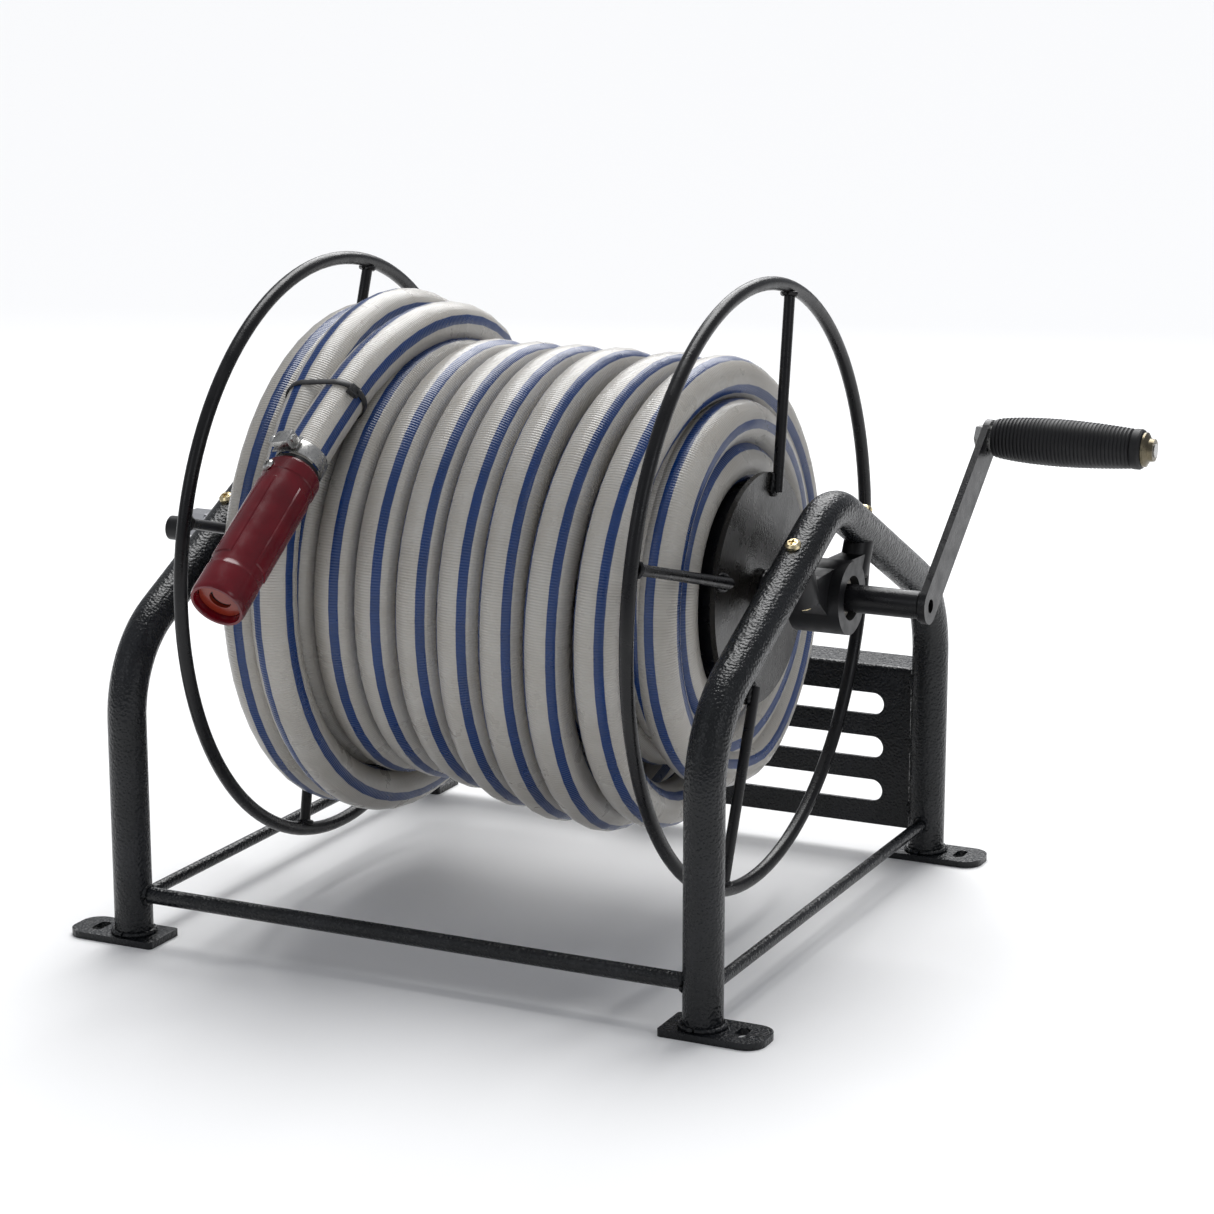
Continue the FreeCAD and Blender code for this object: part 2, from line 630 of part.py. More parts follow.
def make_nodes():
    nodes = {"front_crossbar": front_crossbar(), "rear_plate": rear_plate()}
    for name, side in SIDES.items():
        nodes["side_frame_" + name] = side_frame(side)
        nodes["base_bar_" + name] = base_bar(side)
        nodes["foot_front_" + name] = foot(1, side)
        nodes["foot_rear_" + name] = foot(-1, side)
        nodes["bearing_hanger_" + name] = bearing_hanger(side)
        nodes["bearing_bush_" + name] = bearing_bush(side)
        nodes["rim_" + name] = rim(side)
        nodes["spokes_" + name] = spokes(side)
        nodes["hub_disc_" + name] = hub_disc(side)
        nodes["stop_collar_" + name] = stop_collar(side)
    nodes["hanger_screws"], nodes["hanger_nuts"] = hanger_fasteners()
    makers = (drum_barrel, axle, grub_screws, feed_elbow, hose_barb, inner_hose_clamp,
              crank_arm, grip_spindle, grip_washer, grip_nut, grip,
              hose_winding, hose_tail, clamp_band, clamp_screw, cable_tie,
              nozzle_body, nozzle_seals, nozzle_sleeve, nozzle_tip, nozzle_screw,
              swivel_housing, swivel_seal, inlet_spigot, union_nut)
    for maker in makers:
        nodes[maker.__name__] = maker()
    return nodes


os.makedirs("parts", exist_ok=True)
for node, shape in make_nodes().items():
    if not shape.isValid() or shape.Volume <= 0:
        print("check", node, shape.isValid(), round(shape.Volume))
    shape.exportStep("parts/" + node + ".step")
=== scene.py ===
import math

import bmesh
import bpy
import numpy as np
from mathutils import Matrix, Vector, noise


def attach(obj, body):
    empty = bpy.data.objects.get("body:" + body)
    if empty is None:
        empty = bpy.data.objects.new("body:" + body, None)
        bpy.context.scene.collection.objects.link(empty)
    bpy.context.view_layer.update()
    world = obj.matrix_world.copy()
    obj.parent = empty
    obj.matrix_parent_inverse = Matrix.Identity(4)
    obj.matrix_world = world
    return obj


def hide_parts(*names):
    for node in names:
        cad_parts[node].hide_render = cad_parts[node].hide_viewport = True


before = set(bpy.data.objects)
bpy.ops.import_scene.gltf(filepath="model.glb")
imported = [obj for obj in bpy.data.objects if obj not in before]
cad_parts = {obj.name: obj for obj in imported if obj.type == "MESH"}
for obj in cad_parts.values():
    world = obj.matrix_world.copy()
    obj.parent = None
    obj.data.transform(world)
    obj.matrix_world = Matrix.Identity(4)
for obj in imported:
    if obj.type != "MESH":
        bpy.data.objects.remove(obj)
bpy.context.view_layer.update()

# A floor-standing fire hose reel. +X is the side where the nozzle hangs, +Y runs along the
# axle towards the crank and +Z is up, in metres, with the floor at Z = 0.

MM = 0.001
AXLE_Z = 0.255
DRUM_Y = -0.0035
HOSE_R = 0.0165
NOZZLE_TOP = Vector((0.182, -0.101, 0.350))
NOZZLE_AXIS = Vector((0.8235, 0.0, -0.5673)).normalized()
CRANK_ANGLE = math.radians(141.5)
SIDES = {"crank": 1, "inlet": -1}
SPOKE_ANGLES = (15, 105, 195, 285)


# ---- camera, lights and floor --------------------------------------------------------------

def make_camera():
    camera = bpy.data.objects.new("camera", bpy.data.cameras.new("camera"))
    camera.data.sensor_width = 36.0
    camera.data.lens = 94.75
    camera.data.clip_end = 50
    right = Vector((-0.4309, 0.9024, 0.0)).normalized()
    forward = Vector((-0.8786, -0.4195, -0.2281)).normalized()
    right = (right - forward * right.dot(forward)).normalized()
    up = right.cross(forward)
    turn = Matrix((right, up, -forward)).transposed().to_4x4()
    camera.matrix_world = Matrix.Translation((2.0632, 1.0365, 0.7648)) @ turn
    bpy.context.scene.collection.objects.link(camera)
    bpy.context.scene.camera = camera


def area_light(name, position, target, size, power, colour=(1, 1, 1)):
    light = bpy.data.lights.new(name, "AREA")
    light.shape = "RECTANGLE"
    light.size, light.size_y = size
    light.energy = power
    light.color = colour
    holder = bpy.data.objects.new(name, light)
    holder.location = position
    aim = Vector(target) - Vector(position)
    holder.rotation_euler = aim.to_track_quat("-Z", "Y").to_euler()
    bpy.context.scene.collection.objects.link(holder)


def sun_light(name, direction, strength, spread):
    light = bpy.data.lights.new(name, "SUN")
    light.energy = strength
    light.angle = math.radians(spread)
    holder = bpy.data.objects.new(name, light)
    holder.rotation_euler = Vector(direction).to_track_quat("-Z", "Y").to_euler()
    bpy.context.scene.collection.objects.link(holder)


def make_studio():
    sun_light("sky_light", (0.5, 0.12, -1.0), 2.7, 40)
    area_light("front_light", (2.2, -0.9, 1.5), (0, 0, 0.3), (1.0, 1.0), 4, (0.93, 0.96, 1.0))
    area_light("side_light", (0.9, 2.4, 1.6), (0, 0, 0.3), (0.9, 0.9), 5, (0.95, 0.97, 1.0))
    area_light("rear_light", (-2.0, -0.6, 1.6), (0, 0, 0.3), (1.6, 0.8), 22)
    world = bpy.data.worlds.new("studio")
    world.use_nodes = True
    background = world.node_tree.nodes["Background"]
    background.inputs["Color"].default_value = (0.93, 0.95, 1.0, 1)
    background.inputs["Strength"].default_value = 0.38
    bpy.context.scene.world = world
    mesh = bpy.data.meshes.new("floor")
    reach = 40
    mesh.from_pydata([(-reach, -reach, 0), (reach, -reach, 0), (reach, reach, 0),
                      (-reach, reach, 0)], [], [(0, 1, 2, 3)])
    floor = bpy.data.objects.new("floor", mesh)
    bpy.context.scene.collection.objects.link(floor)
    floor.data.materials.append(simple_material("floor_paper", (0.86, 0.86, 0.86), 0.9))
    bpy.context.scene.view_settings.view_transform = "Standard"


# ---- materials -----------------------------------------------------------------------------

class Shader:
    """A principled material with short ways to add nodes and links."""

    def __init__(self, name, colour, roughness, metallic=0.0):
        self.material = bpy.data.materials.new(name)
        self.material.use_nodes = True
        self.tree = self.material.node_tree
        self.surface = self.tree.nodes["Principled BSDF"]
        self.set("Base Color", (*colour, 1))
        self.set("Roughness", roughness)
        self.set("Metallic", metallic)
        self.material.diffuse_color = (*colour, 1)
        self.height = None

    def set(self, socket, value):
        self.surface.inputs[socket].default_value = value

    def link(self, source, target):
        self.tree.links.new(source, target)

    def node(self, kind, **settings):
        made = self.tree.nodes.new(kind)
        for name, value in settings.items():
            setattr(made, name, value)
        return made

    def position(self):
        return self.node("ShaderNodeTexCoord").outputs["Object"]

    def noise(self, scale, detail=3.0, where=None, rough=0.5):
        made = self.node("ShaderNodeTexNoise")
        made.inputs["Scale"].default_value = scale
        made.inputs["Detail"].default_value = detail
        made.inputs["Roughness"].default_value = rough
        self.link(where or self.position(), made.inputs["Vector"])
        return made.outputs["Fac"]

    def cells(self, scale, where=None, smooth=0.6):
        made = self.node("ShaderNodeTexVoronoi", feature="SMOOTH_F1")
        made.inputs["Scale"].default_value = scale
        made.inputs["Smoothness"].default_value = smooth
        self.link(where or self.position(), made.inputs["Vector"])
        return made.outputs["Distance"]

    def maths(self, operation, first, second=None, clamp=False):
        made = self.node("ShaderNodeMath", operation=operation, use_clamp=clamp)
        for index, value in enumerate((first, second)):
            if value is None:
                continue
            if isinstance(value, (int, float)):
                made.inputs[index].default_value = value
            else:
                self.link(value, made.inputs[index])
        return made.outputs[0]

    def range(self, value, low, high, to_low, to_high):
        made = self.node("ShaderNodeMapRange")
        self.link(value, made.inputs["Value"])
        for socket, number in zip(("From Min", "From Max", "To Min", "To Max"),
                                  (low, high, to_low, to_high)):
            made.inputs[socket].default_value = number
        return made.outputs["Result"]

    def blend(self, factor, first, second):
        made = self.node("ShaderNodeMix", data_type="RGBA")
        self.link(factor, made.inputs[0])
        for socket, colour in ((made.inputs[6], first), (made.inputs[7], second)):
            if isinstance(colour, tuple):
                socket.default_value = (*colour, 1)
            else:
                self.link(colour, socket)
        return made.outputs[2]

    def bump(self, height, distance, strength=1.0):
        made = self.node("ShaderNodeBump")
        made.inputs["Strength"].default_value = strength
        made.inputs["Distance"].default_value = distance
        self.link(height, made.inputs["Height"])
        if self.height is not None:
            self.link(self.height, made.inputs["Normal"])
        self.height = made.outputs["Normal"]
        self.link(self.height, self.surface.inputs["Normal"])

    def colour(self, source):
        self.link(source, self.surface.inputs["Base Color"])

    def worn(self, scale, low, high, detail=3.0):
        """Roughness that wanders between two values over the surface."""
        patches = self.range(self.noise(scale, detail), 0.3, 0.7, low, high)
        self.link(patches, self.surface.inputs["Roughness"])


def simple_material(name, colour, roughness):
    shader = Shader(name, colour, roughness)
    shader.worn(60, roughness - 0.04, roughness + 0.04)
    return shader.material


def hammered_coat():
    """Black powder coat with a hammered skin: dimples about 2 mm across."""
    shader = Shader("hammered_coat", (0.006, 0.007, 0.009), 0.26)
    shader.set("Specular IOR Level", 0.34)
    shader.bump(shader.cells(480), 0.00055, 0.9)
    shader.bump(shader.noise(1500, 2), 0.0002, 0.7)
    dust = shader.noise(22, 4)
    shader.colour(shader.blend(shader.range(dust, 0.45, 0.8, 0, 1),
                               (0.004, 0.005, 0.006), (0.012, 0.013, 0.016)))
    shader.worn(140, 0.18, 0.32)
    return shader.material


def fine_coat():
    """The smoother black coat of the wheels, crank and axle."""
    shader = Shader("fine_coat", (0.005, 0.005, 0.006), 0.25)
    shader.set("Specular IOR Level", 0.32)
    shader.bump(shader.noise(900, 3), 0.00016, 0.7)
    shader.bump(shader.cells(620), 0.00014, 0.4)
    shader.worn(90, 0.22, 0.38)
    shader.colour(shader.blend(shader.range(shader.noise(30, 4), 0.5, 0.85, 0, 1),
                               (0.003, 0.003, 0.004), (0.01, 0.01, 0.01)))
    return shader.material


def disc_coat():
    """The hub discs: a satin coat over rolled plate, with an orange-peel skin."""
    shader = Shader("disc_coat", (0.008, 0.007, 0.006), 0.26)
    shader.set("Specular IOR Level", 0.36)
    shader.bump(shader.noise(420, 2), 0.0002, 0.7)
    shader.bump(shader.noise(1600, 2), 0.00006, 0.6)
    shader.worn(60, 0.2, 0.34)
    shader.colour(shader.blend(shader.noise(16, 4), (0.005, 0.005, 0.005), (0.014, 0.012, 0.01)))
    return shader.material


def moulded_black():
    shader = Shader("moulded_black", (0.006, 0.006, 0.007), 0.36)
    shader.set("Specular IOR Level", 0.32)
    shader.bump(shader.noise(2200, 2), 0.00005, 0.5)
    shader.worn(120, 0.34, 0.5)
    return shader.material


def pale_acetal():
    shader = Shader("pale_acetal", (0.5, 0.47, 0.42), 0.42)
    shader.colour(shader.blend(shader.noise(180, 4), (0.42, 0.39, 0.34), (0.56, 0.53, 0.48)))
    shader.bump(shader.noise(700, 3), 0.00006, 0.5)
    return shader.material


def plated(name, colour, other, roughness, brushed=500):
    """Zinc or nickel plate: faint stains and fine marks."""
    shader = Shader(name, colour, roughness, 1.0)
    shader.colour(shader.blend(shader.noise(160, 4), colour, other))
    shader.worn(brushed, roughness - 0.07, roughness + 0.1, detail=3)
    shader.bump(shader.noise(brushed * 3, 2), 0.000004, 0.4)
    return shader.material


def hose_material():
    """Pale woven-reinforced hose: blue lengthwise stripes and fine ribs round the tube."""
    shader = Shader("hose_skin", (0.6, 0.58, 0.54), 0.3)
    place = shader.node("ShaderNodeUVMap", uv_map="hose")
    parts = shader.node("ShaderNodeSeparateXYZ")
    shader.link(place.outputs["UV"], parts.inputs[0])
    around, along = parts.outputs[0], parts.outputs[1]
    wobble = shader.maths("MULTIPLY", shader.maths("SUBTRACT", shader.noise(18, 1), 0.5), 0.02)
    quarter = shader.maths("FRACT", shader.maths("ADD", shader.maths("MULTIPLY", around, 4.0),
                                                 shader.maths("ADD", wobble, 0.5)))
    off_centre = shader.maths("ABSOLUTE", shader.maths("SUBTRACT", quarter, 0.5))
    stripe = shader.range(off_centre, 0.125, 0.145, 1, 0)
    soil = shader.noise(35, 5)
    pale = shader.blend(shader.range(soil, 0.35, 0.75, 0, 1), (0.43, 0.412, 0.38),
                        (0.385, 0.362, 0.325))
    blue = shader.blend(shader.range(soil, 0.35, 0.75, 0, 1), (0.0003, 0.03, 0.145),
                        (0.0003, 0.024, 0.11))
    shader.colour(shader.blend(stripe, pale, blue))
    ribs = shader.maths("SINE", shader.maths("MULTIPLY", along, 2 * math.pi / 0.0019))
    shader.bump(ribs, 0.00016, 0.7)
    weave = shader.maths("SINE", shader.maths("MULTIPLY", around, 2 * math.pi * 34))
    shader.bump(weave, 0.00004, 0.35)
    shader.bump(shader.noise(180, 2), 0.00008, 0.3)
    shader.worn(45, 0.22, 0.42, detail=4)
    shader.set("Subsurface Weight", 0.08)
    shader.set("Subsurface Radius", (0.004, 0.003, 0.002))
    shader.set("Coat Weight", 0.2)
    shader.set("Coat Roughness", 0.15)
    return shader.material


def gloss_red(name, colour, deep):
    shader = Shader(name, colour, 0.2)
    shader.colour(shader.blend(shader.range(shader.noise(40, 4), 0.35, 0.7, 0, 1), colour, deep))
    shader.set("Specular IOR Level", 0.4)
    shader.bump(shader.noise(900, 2), 0.00003, 0.4)
    shader.worn(110, 0.14, 0.26, detail=3)
    return shader.material


def grip_rubber():
    shader = Shader("grip_rubber", (0.006, 0.006, 0.007), 0.45)
    shader.set("Specular IOR Level", 0.34)
    shader.bump(shader.noise(1800, 2), 0.00005, 0.5)
    shader.worn(90, 0.42, 0.56)
    return shader.material


def tie_nylon():
    shader = Shader("tie_nylon", (0.012, 0.012, 0.013), 0.38)
    shader.bump(shader.noise(2600, 2), 0.00003, 0.5)
    return shader.material


# ---- mesh helpers --------------------------------------------------------------------------

def new_piece(name, mesh, material, body, smooth_angle=35):
    piece = bpy.data.objects.new(name, mesh)
    bpy.context.scene.collection.objects.link(piece)
    piece.data.materials.clear()
    piece.data.materials.append(material)
    shade(piece, smooth_angle)
    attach(piece, body)
    return piece


def shade(piece, degrees):
    """Smooth faces with sharp edges where the surface turns by more than the angle."""
    mesh = piece.data
    mesh.polygons.foreach_set("use_smooth", [True] * len(mesh.polygons))
    form = bmesh.new()
    form.from_mesh(mesh)
    limit = math.radians(degrees)
    for edge in form.edges:
        edge.smooth = edge.calc_face_angle(0) < limit
    form.to_mesh(mesh)
    form.free()


def frame_from(direction, hint):
    """Three axes: direction, and two across it, the first as near to hint as can be."""
    along = direction.normalized()
    across = (hint - along * hint.dot(along)).normalized()
    return along, across, along.cross(across)


def placement(origin, direction, hint):
    """A matrix that puts local +Z on direction and local +X near hint."""
    along, across, side = frame_from(direction, hint)
    return Matrix.Translation(origin) @ Matrix((across, side, along)).transposed().to_4x4()


def skinned(name, form, rings, closed=True):
    """Faces from ring to ring, then back to the first ring, or with both ends capped."""
    sides = len(rings[0])
    for lower, upper in zip(rings, rings[1:] + (rings[:1] if closed else [])):
        for i in range(sides):
            j = (i + 1) % sides
            form.faces.new((lower[i], lower[j], upper[j], upper[i]))
    if not closed:
        form.faces.new(rings[0])
        form.faces.new(rings[-1])
    bmesh.ops.recalc_face_normals(form, faces=form.faces)
    mesh = bpy.data.meshes.new(name)
    form.to_mesh(mesh)
    form.free()
    return mesh


def circle(form, sides, height, radius_at):
    """A ring of vertices about +Z. Height and radius_at(degrees) are in mm."""
    ring = []
    for i in range(sides):
        turn = 2 * math.pi * i / sides
        radius = radius_at(360.0 * i / sides) * MM
        ring.append(form.verts.new((radius * math.cos(turn), radius * math.sin(turn),
                                    height * MM)))
    return ring


def turned(name, profile, sides=96):
    """A closed solid of revolution about +Z from (radius, height) points in mm."""
    form = bmesh.new()
    rings = [circle(form, sides, height, lambda degrees: radius) for radius, height in profile]
    return skinned(name, form, rings)


def sweep(name, points, radii, sides=16, closed=False, squash=1.0, hint=Vector((0, 1, 0))):
    """A round or oval tube along points, with one radius at each point."""
    form = bmesh.new()
    rings = []
    count = len(points)
    for index, point in enumerate(points):
        before = points[index - 1] if closed or index else point
        after = points[(index + 1) % count] if closed or index < count - 1 else point
        _, across, side = frame_from(after - before, hint)
        radius = radii[index]
        rings.append([form.verts.new(point + across * (radius * math.cos(turn))
                                     + side * (radius * squash * math.sin(turn)))
                      for turn in (2 * math.pi * i / sides for i in range(sides))])
    return skinned(name, form, rings, closed)


def joined(name, meshes):
    """One mesh out of several."""
    form = bmesh.new()
    for mesh in meshes:
        form.from_mesh(mesh)
        bpy.data.meshes.remove(mesh)
    mesh = bpy.data.meshes.new(name)
    form.to_mesh(mesh)
    form.free()
    return mesh


def box_mesh(size, centre, bevel, turn=None):
    """A bevelled block, in metres, with an optional matrix."""
    form = bmesh.new()
    bmesh.ops.create_cube(form, size=1.0)
    bmesh.ops.scale(form, vec=size, verts=form.verts)
    bmesh.ops.bevel(form, geom=form.edges, offset=bevel, segments=2, profile=0.6,
                    affect="EDGES")
    bmesh.ops.translate(form, vec=centre, verts=form.verts)
    if turn is not None:
        bmesh.ops.transform(form, matrix=turn, verts=form.verts)
    mesh = bpy.data.meshes.new("block")
    form.to_mesh(mesh)
    form.free()
    return mesh


def around_axle(radius, degrees, y):
    turn = math.radians(degrees)
    return Vector((radius * math.cos(turn), y, AXLE_Z + radius * math.sin(turn)))


def lookup(knots, value):
    """Linear interpolation in a table of (position, value) pairs."""
    return float(np.interp(value, [k[0] for k in knots], [k[1] for k in knots]))


# ---- hose ----------------------------------------------------------------------------------

# The hose starts at the feed elbow and winds towards falling angles, front face downwards.
# These tables run against the number of turns from the start.
START_ANGLE = 190.0
LAST_TURN = 31.05
POINTS_PER_TURN = 18
SAG_FROM_TURN = 19.8
HOSE_SIDES = 40
COIL_RADIUS = ((0, 88), (0.3, 89.5), (9.3, 89.5), (9.8, 118.5), (19.6, 118.5), (19.95, 148.5),
               (28.75, 148.5), (29.2, 170), (29.5, 174), (29.9, 178), (30.2, 182), (30.6, 182),
               (30.85, 178), (31.1, 172))
COIL_Y = ((0, 146), (0.6, 146), (9.3, -153), (9.8, -153), (18.9, 146), (19.8, 146), (20.02, 144),
          (20.28, 133), (20.51, 115), (20.75, 109), (21.02, 106), (21.28, 95),
          (21.51, 77.5), (22.51, 43), (23.51, 9.5),
          (24.51, -23.5), (25.51, -57), (26.51, -90), (27.51, -122), (28.3, -149),
          (28.8, -151), (29.75, -150.5), (30.15, -126), (30.6, -122), (30.85, -112),
          (31.1, -90))
COIL_SAG = ((19.9, 8), (20.7, 17), (21.7, 25), (22.7, 22), (23.7, 15), (24.7, 5), (25.2, 0),
            (31.2, 0))
STRIPE_ANGLE = ((0, 42), (10, 20), (19.5, 2), (20.1, 20), (20.5, 31), (21.5, 35), (22.5, 37),
                (23.5, 29), (24.5, 32), (25.5, 22), (26.5, 20), (28.5, 18), (29.5, 11),
                (30.5, -20), (31.3, -14))
# The stretch that leaves the winding, over the top and down to the nozzle.
TAIL_ROUTE = ((-0.112, -0.088, 0.386), (-0.056, -0.088, 0.423), (0.011, -0.090, 0.432),
              (0.076, -0.094, 0.418), (0.129, -0.101, 0.3865), (0.182, -0.101, 0.350))


def eased(knots, value, spread=0.12):
    """The table smoothed a little, so that the hose has no kinks."""
    steps = (-1, -0.5, 0, 0.5, 1)
    return sum(lookup(knots, value + spread * step) for step in steps) / len(steps)


def hose_points():
    """Control points: the wound turns from a loop, then the tail's own points."""
    # The spline runs inside its control points by this share of the radius.
    shrink = 0.75 + 0.25 * math.cos(2 * math.pi / POINTS_PER_TURN)
    points = []
    for step in range(round(LAST_TURN * POINTS_PER_TURN)):
        turns = step / POINTS_PER_TURN
        degrees = START_ANGLE - 360 * turns
        radius = eased(COIL_RADIUS, turns)
        low = max(0.0, -math.sin(math.radians(degrees)))
        radius += lookup(COIL_SAG, turns) * low ** 1.4 if turns > SAG_FROM_TURN else 0
        drift = noise.noise(Vector((turns * 1.7, 3.1, 0)))
        y = eased(COIL_Y, turns, 0.07) + 0.8 * drift
        points.append(around_axle((radius + 0.7 * drift) / shrink * MM, degrees, y * MM))
    return points + [Vector(point) for point in TAIL_ROUTE]


def nurbs_line(name, points, resolution):
    """Points along an open NURBS curve through given control points."""
    curve = bpy.data.curves.new(name, "CURVE")
    curve.dimensions = "3D"
    spline = curve.splines.new("NURBS")
    spline.points.add(len(points) - 1)
    for slot, point in zip(spline.points, points):
        slot.co = (*point, 1)
    spline.order_u = 3
    spline.use_endpoint_u = True
    spline.resolution_u = resolution
    holder = bpy.data.objects.new(name, curve)
    bpy.context.scene.collection.objects.link(holder)
    bpy.context.view_layer.update()
    mesh = bpy.data.meshes.new_from_object(holder.evaluated_get(
        bpy.context.evaluated_depsgraph_get()))
    line = [vertex.co.copy() for vertex in mesh.vertices]
    bpy.data.objects.remove(holder)
    bpy.data.meshes.remove(mesh)
    return line


def make_hose(skin):
    control = hose_points()
    line = nurbs_line("hose_line", control, 3)
    points = np.array([tuple(p) for p in line])
    steps = np.linalg.norm(np.diff(points, axis=0), axis=1)
    keep = np.concatenate(([True], steps > 1e-6))
    points = points[keep]
    travelled = np.concatenate(([0], np.cumsum(np.linalg.norm(np.diff(points, axis=0), axis=1))))
    tangent = np.gradient(points, axis=0)
    tangent /= np.linalg.norm(tangent, axis=1)[:, None]
    side = np.array([0, 1, 0]) - tangent * tangent[:, 1:2]
    side /= np.linalg.norm(side, axis=1)[:, None]
    outward = np.cross(tangent, side)
    # The share of turns done at each point, for the angle of the stripes.
    angle = np.unwrap(np.arctan2(points[:, 2] - AXLE_Z, points[:, 0]))
    turns = (angle[0] - angle) / (2 * math.pi)
    stripe = np.radians([eased(STRIPE_ANGLE, turn, 0.3) for turn in turns])
    sides = HOSE_SIDES
    spin = np.linspace(0, 2 * math.pi, sides, endpoint=False)
    rings = (points[:, None, :]
             + HOSE_R * np.cos(spin)[None, :, None] * outward[:, None, :]
             + HOSE_R * np.sin(spin)[None, :, None] * side[:, None, :])
    count = len(points)
    grid = np.arange(count * sides).reshape(count, sides)
    quads = np.stack([grid[:-1], np.roll(grid, -1, 1)[:-1], np.roll(grid, -1, 1)[1:], grid[1:]],
                     axis=-1).reshape(-1, 4)
    faces = quads.tolist() + [grid[0][::-1].tolist(), grid[-1].tolist()]
    mesh = bpy.data.meshes.new("hose")
    mesh.from_pydata(rings.reshape(-1, 3).tolist(), [], faces)
    layer = mesh.uv_layers.new(name="hose")
    corner_u = np.stack([spin, spin + 2 * math.pi / sides, spin + 2 * math.pi / sides, spin], -1)
    u = np.repeat(corner_u[None], count - 1, 0)
    twist = np.stack([stripe[:-1], stripe[:-1], stripe[1:], stripe[1:]], -1)
    u = (u - twist[:, None, :]) / (2 * math.pi)
    v = np.stack([travelled[:-1], travelled[:-1], travelled[1:], travelled[1:]], -1)
    v = np.repeat(v[:, None, :], sides, 1)
    coords = np.stack([u, v], -1).reshape(-1, 2)
    coords = np.concatenate([coords, np.zeros((2 * sides, 2))])
    layer.data.foreach_set("uv", coords.reshape(-1).astype(np.float32))
    hose = new_piece("hose", mesh, skin, "drum", 60)
    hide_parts("hose_winding", "hose_tail")
    return hose, [Vector(p) for p in points]


# ---- pieces on the hose --------------------------------------------------------------------

CLAMP_R = 17.5            # mm
CLAMP_MIDDLE = -0.0073    # m along the nozzle from its top
CLAMP_SLOTS = 14
TIE_AT = Vector((0.131, -0.101, 0.385))
TIE_STEPS = 48
SLEEVE_LENGTH = 131.0
SLEEVE_SIDES = 144
SLEEVE_PANELS = (115, 355, 235)    # degrees at the middle of each raised panel


def on_nozzle(mesh):
    mesh.transform(placement(NOZZLE_TOP, NOZZLE_AXIS, Vector((0, 1, 0))))
    return mesh


def make_hose_clamp(steel):
    """A worm-drive clamp: slotted band, pressed housing and a hexagon-headed worm screw."""
    lug = math.radians(104)
    low, high = -13.4, -1.2
    inner, edge, outer = CLAMP_R - 0.6, CLAMP_R + 0.2, CLAMP_R + 0.45
    band = turned("band", ((inner, low), (edge, low), (outer, low + 1), (outer, high - 1),
                           (edge, high), (inner, high)), 120)
    parts = [band]
    for step in range(CLAMP_SLOTS):
        turn = lug + math.radians(28 + 7 * step)
        spot = Matrix.Rotation(turn, 4, "Z")
        parts.append(box_mesh((0.0006, 0.0011, 0.0066), (0.01805, 0, CLAMP_MIDDLE), 0.0002, spot))
    place = Matrix.Rotation(lug, 4, "Z")
    parts.append(box_mesh((0.0085, 0.0145, 0.0122), (0.0222, 0, CLAMP_MIDDLE), 0.0016, place))
    parts.append(box_mesh((0.0012, 0.022, 0.0118), (0.0184, 0, CLAMP_MIDDLE), 0.0004, place))
    screw = turned("worm", ((0, -9), (2.6, -9), (2.9, -8.4), (2.9, 6.8), (3.7, 7), (4.1, 7.6),
                            (4.1, 10.8), (3.6, 11.4), (0.2, 11.4)), 6)
    screw.transform(place @ Matrix.Translation((0.0228, 0, CLAMP_MIDDLE))
                    @ Matrix.Rotation(math.radians(-90), 4, "X"))
    parts.append(screw)
    clamp = new_piece("hose_clamp", on_nozzle(joined("hose_clamp", parts)), steel, "drum")
    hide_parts("clamp_band", "clamp_screw")
    return clamp


def make_cable_tie(line, nylon):
    """A nylon strap round the tail and the turn beside it, with its ratchet head."""
    tail_at = min(line[-40:], key=lambda p: (p - TIE_AT).length)
    near = [p for p in line[:-40] if (p - tail_at).length < 0.06]
    other = min(near, key=lambda p: (p - tail_at).length)
    index = line.index(tail_at)
    along = (line[index + 1] - line[index - 1]).normalized()
    other = other - along * (other - tail_at).dot(along)
    towards = (other - tail_at).normalized()
    outward = towards.cross(along).normalized()
    if outward.z < 0:
        outward = -outward
    reach = (other - tail_at).length
    radius = HOSE_R + 0.0011
    rim = []
    for hub, start in ((tail_at, math.pi / 2), (other, -math.pi / 2)):
        for step in range(TIE_STEPS + 1):
            turn = start + math.pi * step / TIE_STEPS
            rim.append(hub + towards * (radius * math.cos(turn))
                       + outward * (radius * math.sin(turn)))
    form = bmesh.new()
    rings = []
    middle = (tail_at + other) / 2
    for point in rim:
        away = (point - middle)
        away = (away - along * away.dot(along)).normalized()
        lean = along * 0.0035 * (point - middle).dot(towards) / reach
        rings.append([form.verts.new(point + lean + away * i * MM + along * j * MM)
                      for i, j in ((-0.6, -2.3), (0.5, -2.4), (0.8, -1.7), (0.8, 1.7), (0.5, 2.4),
                                   (-0.6, 2.3))])
    strap = skinned("strap", form, rings)
    away = (outward - towards * 1.3).normalized()
    seat = tail_at + away * (radius + 0.0022)
    turn = placement(seat, away, along)
    head = box_mesh((0.0072, 0.0078, 0.0056), (0, 0, 0), 0.0009, turn)
    slot = box_mesh((0.0046, 0.0022, 0.0066), (0, -0.0006, 0), 0.0003, turn)
    lip = box_mesh((0.0052, 0.003, 0.002), (0, 0.004, -0.0012), 0.0005, turn)
    stub_points = [seat - towards * 0.004 + away * 0.001,
                   seat - towards * 0.0065 - outward * 0.001]
    stub = sweep("stub", stub_points, (0.0016, 0.0015), 8, False, 0.4, along)
    tie = new_piece("tail_tie", joined("tail_tie", [strap, head, slot, lip, stub]), nylon,
                    "drum")
    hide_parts("cable_tie")
    return tie


